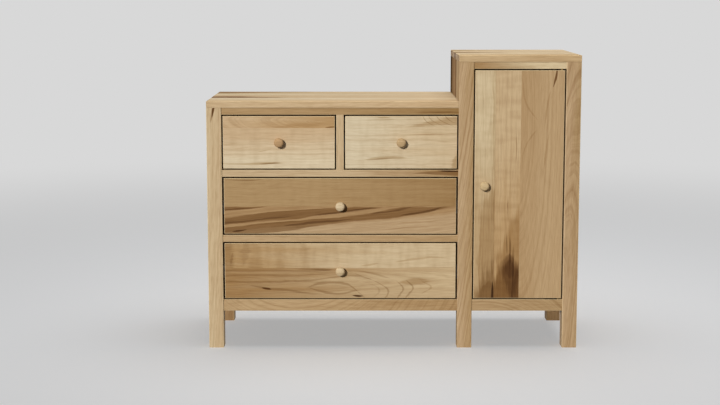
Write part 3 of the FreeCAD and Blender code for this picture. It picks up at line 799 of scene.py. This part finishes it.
# Drawer slides
# Folded from thin steel sheet in three members that run on balls, and zinc plated: a cool grey metal whose
# rolling lines blur its reflections lengthways.
def rolled_metal(name, tones, shine, way):
    """Sheet or bar metal with the fine parallel lines that the rolls left, drawn about 1.5 mm apart to
    show, and a tarnish that comes and goes over a finger's breadth."""
    material = bpy.data.materials.new(name)
    material.use_nodes = True
    tree = material.node_tree
    tree.nodes.clear()
    place = add_node(tree, "TexCoord", {}).outputs["Object"]
    line_size = (60 * mm, 1.5 * mm, 1.5 * mm)
    turn = ways[way][0]
    drawn = add_node(
        tree, "Mapping", {"Vector": place, "Rotation": turn, "Scale": line_size}, vector_type="TEXTURE"
    ).outputs[0]
    drawn_lines = add_node(tree, "TexNoise", {"Vector": drawn, "Scale": 1.0, "Detail": 2.0}).outputs[0]
    gloss = add_node(
        tree, "MapRange", {"Value": drawn_lines, "To Min": shine[0], "To Max": shine[1]}
    ).outputs[0]
    relief = {"Height": drawn_lines, "Strength": 0.1, "Distance": 0.05 * mm}
    bump = add_node(tree, "Bump", relief).outputs[0]
    finger = 18 * mm
    tarnish = add_node(tree, "TexNoise", {"Vector": place, "Scale": 1 / finger, "Detail": 4.0}).outputs[0]
    worn = add_node(tree, "MapRange", {"Value": tarnish, "From Min": 0.35, "From Max": 0.65}).outputs[0]
    colour = add_node(
        tree, "Mix", {0: worn, first: linear(tones[0]), second: linear(tones[1])}, data_type="RGBA"
    ).outputs[mixed]
    surface = {"Base Color": colour, "Metallic": 1.0, "Roughness": gloss, "Normal": bump}
    shader = add_node(tree, "BsdfPrincipled", surface).outputs[0]
    add_node(tree, "OutputMaterial", {"Surface": shader})
    return material


zinc = rolled_metal("zinc_plated_rolled_steel", ("#A2A6A9", "#989B9D"), (0.5, 0.65), "inward")
dress(zinc, "slide_case_members")
for drawer in front_boards:
    dress(zinc, drawer + "_slides", drawer + "_middle_slides")

# Door
# Three upright maple boards glued edge to edge: two pale ones, stained dark brown by the heart towards
# their lower ends, and an even tan one with pointed arches of grain. It hangs on two pivot hinges.
door_boards = [
    {
        "tones": ("#CFBB97", "#B89C74"),
        "fade": (on_front(0, 740), on_front(0, 420)),
        "heart": on_front(250, 700),
        "way": "upright",
        "stretch": 16,
        "lines": 0.3,
        "grain": 0.15,
        "curl": 0.2,
        "streaks": [
            (light_stain, 0.6, 24, [(400, 366, 80), (700, 364, 92), (1000, 362, 84)]),
            (light_stain, 0.6, 10, [(150, 330, 76), (205, 330, 74), (226, 332, 40), (245, 334, 8)]),
            (black_stain, 0.9, 3, [(165, 346, 14), (200, 346, 14), (222, 345, 9), (245, 344, 1)]),
        ],
        "arches": [
            (
                light_stain, 0.6, 60,
                [(280, 300, 60), (292, 300, 130), (312, 300, 540), (332, 300, 610), (356, 300, 640)],
            ),
            (brown_stain, 0.7, 70, [(270, 150, 220), (296, 150, 250), (318, 150, 360), (356, 150, 410)]),
        ],
    },
    {
        "tones": ("#C6AC86", "#B7976C"),
        "fade": (on_front(0, 760), on_front(0, 400)),
        "heart": on_front(520, 640),
        "way": "upright",
        "stretch": 16,
        "lines": 0.3,
        "grain": 0.15,
        "curl": 0.25,
        "streaks": [
            (light_stain, 0.8, 24, [(230, 414, 180), (340, 420, 140), (420, 424, 94), (520, 430, 20)]),
            (brown_stain, 0.8, 30, [(120, 404, 216), (210, 404, 196), (260, 403, 140), (330, 404, 30)]),
            (
                dark_stain_and_shade, 0.6, 20,
                [(165, 414, 50), (230, 408, 78), (275, 403, 102), (302, 402, 90), (332, 404, 24)],
            ),
            (dark_stain_and_shade, 0.35, 12, [(238, 408, 16), (262, 405, 50), (288, 404, 52), (314, 406, 14)]),
            (dark_stain_and_shade, 0.5, 20, [(140, 446, 112), (215, 445, 104), (270, 444, 74), (330, 444, 24)]),
            (dark_stain_and_shade, 0.5, 3, [(318, 395, 2), (345, 394, 10), (385, 392, 8), (412, 391, 1)]),
            (dark_stain_and_shade, 0.6, 3, [(290, 405, 8), (340, 405, 11), (380, 404, 8), (406, 404, 1)]),
            (dark_stain_and_shade, 0.5, 3, [(250, 416, 8), (310, 416, 11), (345, 415, 8), (374, 414, 1)]),
            (brown_stain, 0.7, 1, [(430, 397, 1), (492, 396, 5), (545, 395, 1)]),
            (brown_stain, 0.7, 1, [(650, 421, 1), (716, 421, 5), (760, 420, 1)]),
        ],
    },
    {
        "tones": ("#AD8E66", "#B79A73"),
        "fade": (on_front(425, 0), on_front(520, 0)),
        "heart": on_front(424, 795),
        "way": "upright",
        "stretch": 6,
        "ring": 8 * mm,
        "lines": 0.32,
        "grain": 0.2,
        "streaks": [
            (
                dark_stain_and_shade, 1.0, 2,
                [(899, 540, 1), (916, 545, 7), (938, 551, 11), (963, 556, 9), (980, 559, 7)],
            ),
            (light_stain, 0.4, 3, [(745, 517, 1), (813, 522, 10), (870, 530, 10), (915, 538, 1)]),
            (light_stain, 0.4, 3, [(570, 513, 1), (664, 521, 11), (727, 530, 11), (775, 542, 1)]),
            (light_stain, 0.4, 3, [(655, 440, 8), (710, 455, 11), (744, 476, 12), (770, 498, 1)]),
            (
                light_stain, 0.4, 3,
                [(785, 504, 1), (813, 479, 11), (847, 455, 11), (882, 444, 11), (955, 445, 1)],
            ),
        ],
    },
]
door_seams = (349.2, 436.2)
# The door gets a painted highlight on its corners and painted shade on its sides in the gaps
door_wood = finished_wood(
    "oiled_maple_door", door_boards, door_seams, "X", edge_highlight=0.75, flecks=0.2, painted_gap_shade=0.9
)
dress(door_wood, "door_panel")

# Hinges, shelf pins and catch
# Solid brass pivot hinges and pins, browned with age, and a magnetic catch: its case is moulded in brown
# plastic with a fine spark texture that breaks up its shine, and its plate is zinc-plated steel.
brass = rolled_metal("browned_rolled_brass", ("#97794A", "#7A6140"), (0.3, 0.45), "across")
dress(brass, "hinge_case_leaves", "hinge_door_leaves", "shelf_pins")
dress(zinc, "catch_plate")
catch_case = bpy.data.materials.new("moulded_brown_abs")
catch_case.use_nodes = True
tree = catch_case.node_tree
tree.nodes.clear()
place = add_node(tree, "TexCoord", {}).outputs["Object"]
spark = add_node(tree, "TexNoise", {"Vector": place, "Scale": 1 / (0.8 * mm), "Detail": 2.0}).outputs[0]
gloss = add_node(tree, "MapRange", {"Value": spark, "To Min": 0.4, "To Max": 0.6}).outputs[0]
bump = add_node(tree, "Bump", {"Height": spark, "Strength": 0.2, "Distance": 0.05 * mm}).outputs[0]
colour = add_node(
    tree, "Mix", {0: spark, first: linear("#53412F"), second: linear("#433327")}, data_type="RGBA"
).outputs[mixed]
surface = {"Base Color": colour, "Roughness": gloss, "IOR": 1.53, "Normal": bump}
shader = add_node(tree, "BsdfPrincipled", surface).outputs[0]
add_node(tree, "OutputMaterial", {"Surface": shader})
dress(catch_case, "door_catch")

# Knobs
# Turned from pale maple offcuts and sanded on the lathe, with a short coved neck, a crowned face and a
# tenon that is glued into the front. One came from a browner piece.
knob_sides = 48

# The knob's radius and how far that lies behind the face of the front, from tenon to crown, in millimetres
knob_profile = [
    (6, 16), (6, 0), (9, 0), (9.1, -2), (9.9, -5), (11.8, -8.6), (14, -10.8), (15.5, -12), (16, -13.4),
    (16, -16.4), (15.7, -18.6), (14.9, -20.9), (13.5, -22.9), (11.5, -24.3), (8.8, -25.2), (5, -25.8),
    (1.5, -25.98),
]
knob_board = dict(rails["lower_drawer_rail"], ring=5 * mm, stretch=3)
knob_tones = {
    "upper_left_drawer": ("#C19F74", "#A98665"),
    "upper_right_drawer": ("#CCB38D", "#BB9E74"),
    "middle_drawer": ("#DAC7A5", "#CBB48F"),
    "lower_drawer": ("#D8C3A0", "#C6AD85"),
    "door": ("#D8C49E", "#CBB389"),
}
for body, tones in knob_tones.items():
    node = body + "_knob"
    low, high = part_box(node)
    start_radius, start_depth = knob_profile[0]
    place = ((low.x + high.x) / 2, face_y + start_depth * mm, (low.z + high.z) / 2)
    bpy.ops.object.select_all(action="DESELECT")
    bpy.ops.mesh.primitive_circle_add(
        vertices=knob_sides, radius=start_radius * mm, fill_type="NGON", location=place,
        rotation=(math.pi / 2, 0, 0),
    )
    knob = bpy.context.object
    knob.name = "turned_" + node
    bpy.ops.object.transform_apply(location=True, rotation=True, scale=True)
    bpy.ops.object.mode_set(mode="EDIT")
    bpy.ops.mesh.select_all(action="SELECT")
    for (radius, depth), (next_radius, next_depth) in zip(knob_profile, knob_profile[1:]):
        step = (0, (next_depth - depth) * mm, 0)
        bpy.ops.mesh.extrude_region_move(TRANSFORM_OT_translate={"value": step})
        grow = next_radius / radius
        centre = (place[0], face_y + next_depth * mm, place[2])
        bpy.ops.transform.resize(value=(grow, grow, grow), center_override=centre)
    bpy.ops.mesh.select_all(action="SELECT")
    bpy.ops.mesh.remove_doubles(threshold=0.01 * mm)
    bpy.ops.mesh.normals_make_consistent(inside=False)
    bpy.ops.object.mode_set(mode="OBJECT")
    bpy.ops.object.shade_smooth_by_angle(angle=math.radians(40))
    turned = finished_wood("turned_maple_" + node, [dict(knob_board, tones=tones)], edge_highlight=0.0)
    knob.data.materials.append(turned)
    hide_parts(node)
    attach(knob, body)


# Studio
# A wide sheet of matt grey paper lies on the floor and fades into an even background of the same grey. A
# lamp at the front left models the fronts, one behind and one at the right light those sides, and a soft
# one overhead leaves a soft shadow. A low card sends a little light to the rear right leg.
def seen_rays(tree):
    """One for a ray that the eye sees, straight or in a shine or through glass, and nought for others."""
    rays = add_node(tree, "LightPath", {}).outputs
    straight = {0: rays["Is Camera Ray"], 1: rays["Is Glossy Ray"]}
    seen = add_node(tree, "Math", straight, operation="ADD").outputs[0]
    through = {0: seen, 1: rays["Is Transmission Ray"]}
    return add_node(tree, "Math", through, operation="ADD", use_clamp=True).outputs[0]


backdrop_grey = "#D8D8D8"
floor_grey = "#E0E2E5"
floor_radius = 14

# The share of its grey that the paper shows under the lamps near the dresser, and the share that it glows
# with there by itself. From the first distance to the second it comes to glow alone. It sends only half of
# the light that it gets back to the wood.
near_shade = 0.94
near_glow = 0.56
fade_start = 1.2
fade_end = 6.0
bounce = 0.5
bpy.ops.object.select_all(action="DESELECT")
bpy.ops.mesh.primitive_circle_add(vertices=96, radius=floor_radius, fill_type="NGON")
floor = bpy.context.object
floor.name = "studio_floor"
paper = bpy.data.materials.new("matt_studio_paper")
paper.use_nodes = True
tree = paper.node_tree
tree.nodes.clear()
place = add_node(tree, "TexCoord", {}).outputs["Object"]
distance = add_node(tree, "VectorMath", {0: place}, operation="LENGTH").outputs["Value"]
seen = seen_rays(tree)
span = {"Value": distance, "From Min": fade_start, "From Max": fade_end}
shade = add_node(
    tree, "MapRange", {**span, "To Min": 1 - near_shade}, interpolation_type="SMOOTHSTEP"
).outputs[0]
glow = add_node(
    tree, "MapRange", {**span, "To Min": near_glow}, interpolation_type="SMOOTHSTEP"
).outputs[0]
shade = add_node(tree, "MapRange", {"Value": seen, "To Min": 1 - bounce, "To Max": shade}).outputs[0]
glow = add_node(tree, "Math", {0: glow, 1: seen}, operation="MULTIPLY").outputs[0]
grey = add_node(
    tree, "Mix", {0: shade, first: linear(floor_grey), second: linear("#000000")}, data_type="RGBA"
).outputs[mixed]
lit = add_node(tree, "BsdfDiffuse", {"Color": grey}).outputs[0]
even = add_node(tree, "Emission", {"Color": linear(backdrop_grey), "Strength": glow}).outputs[0]
surface = add_node(tree, "AddShader", {0: lit, 1: even}).outputs[0]
add_node(tree, "OutputMaterial", {"Surface": surface})
floor.data.materials.append(paper)

sky_strength = 0.06
world = bpy.data.worlds.new("soft_studio_sky")
world.use_nodes = True
bpy.context.scene.world = world
tree = world.node_tree
tree.nodes.clear()
seen = seen_rays(tree)
light = add_node(tree, "Background", {"Strength": sky_strength}).outputs[0]
even = add_node(tree, "Background", {"Color": linear(backdrop_grey)}).outputs[0]
surface = add_node(tree, "MixShader", {0: seen, 1: light, 2: even}).outputs[0]
add_node(tree, "OutputWorld", {"Surface": surface})

# How far a distant lamp is turned from the front towards the right, how high it stands, how strong it is
# and how wide it looks, in degrees
distant_lamps = {"front_lamp": (-25.5, 20, 1.04, 6), "low_card": (-10, 2, 0.37, 10)}
lamps = {}
for name, (turn, rise, strength, spread) in distant_lamps.items():
    bpy.ops.object.light_add(type="SUN", rotation=(math.pi / 2 - math.radians(rise), 0, math.radians(turn)))
    lamps[name] = bpy.context.object
    lamps[name].data.energy = strength * math.pi
    lamps[name].data.angle = math.radians(spread)

# Long low lamps, under the height of the tops, stand behind the dresser and at its right
lamp_distance = 3.2
lamp_length = 4.0
lamp_height = 0.84
lamp_strength = 0.6
for name, place, turn in (
    ("rear_lamp", (0, cad_box[1][1] + lamp_distance, lamp_height / 2), 180),
    ("right_lamp", (cad_box[1][0] + lamp_distance, 0, lamp_height / 2), 90),
):
    bpy.ops.object.light_add(type="AREA", location=place, rotation=(math.pi / 2, 0, math.radians(turn)))
    lamps[name] = bpy.context.object
    lamps[name].data.shape = "RECTANGLE"
    lamps[name].data.size = lamp_length
    lamps[name].data.size_y = lamp_height
    lamps[name].data.energy = lamp_strength * (math.pi * lamp_distance) ** 2
    lamps[name].visible_camera = False
for name, lamp in lamps.items():
    lamp.name = name

# The paper gets no light or shadow from these lamps, and the card lights the leg alone
shadow_free = bpy.data.collections.new("floor_without_lamps")
shadow_free.objects.link(floor)
shadow_free.collection_objects[0].light_linking.link_state = "EXCLUDE"
for name in ("front_lamp", "rear_lamp", "right_lamp"):
    lamps[name].light_linking.receiver_collection = shadow_free
rear_leg = bpy.data.collections.new("rear_leg_with_card")
rear_leg.objects.link(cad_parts["rear_right_post"])
lamps["low_card"].light_linking.receiver_collection = rear_leg

# A round softbox over the dresser, a little to the right and behind, as strong as the tops need
overhead_size = 3.2
overhead_place = (0.3, 0.3, 3.6)
overhead_strength = 0.77
tops_height = 0.9
bpy.ops.object.light_add(type="AREA", location=overhead_place)
overhead = bpy.context.object
overhead.name = "overhead_softbox"
overhead.data.shape = "DISK"
overhead.data.size = overhead_size
overhead.data.energy = overhead_strength * math.pi ** 2 * (overhead_place[2] - tops_height) ** 2
